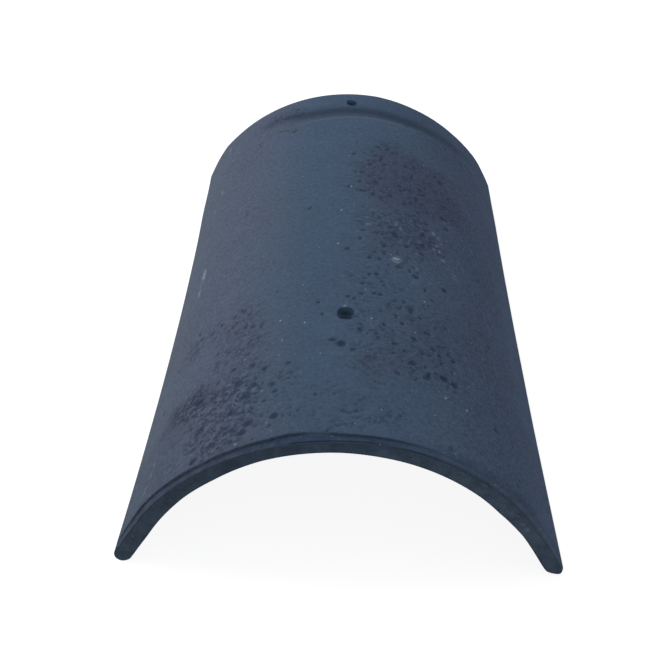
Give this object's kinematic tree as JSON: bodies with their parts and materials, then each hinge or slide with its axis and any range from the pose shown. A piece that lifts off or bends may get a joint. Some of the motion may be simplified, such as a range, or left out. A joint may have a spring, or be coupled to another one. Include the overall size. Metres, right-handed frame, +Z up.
{
  "type": "ridge tile",
  "caption": "Arched concrete ridge tile on straight legs, with a lowered lap at its head, a rebated nose, round feet and nail holes along its crown.",
  "frame": {"origin": "middle of the footprint, on the ground under the feet", "axes": "+Y along the ridge from the nose to the lapped head, +X across the ridge, +Z up"},
  "size_m": [0.2494, 0.45, 0.0951],
  "materials": {
    "concrete": "matt slate-blue coating, weathered, with dark pits and pale specks"
  },
  "bodies": {
    "root": {"ridge_tile": "concrete"}
  },
  "joints": []
}
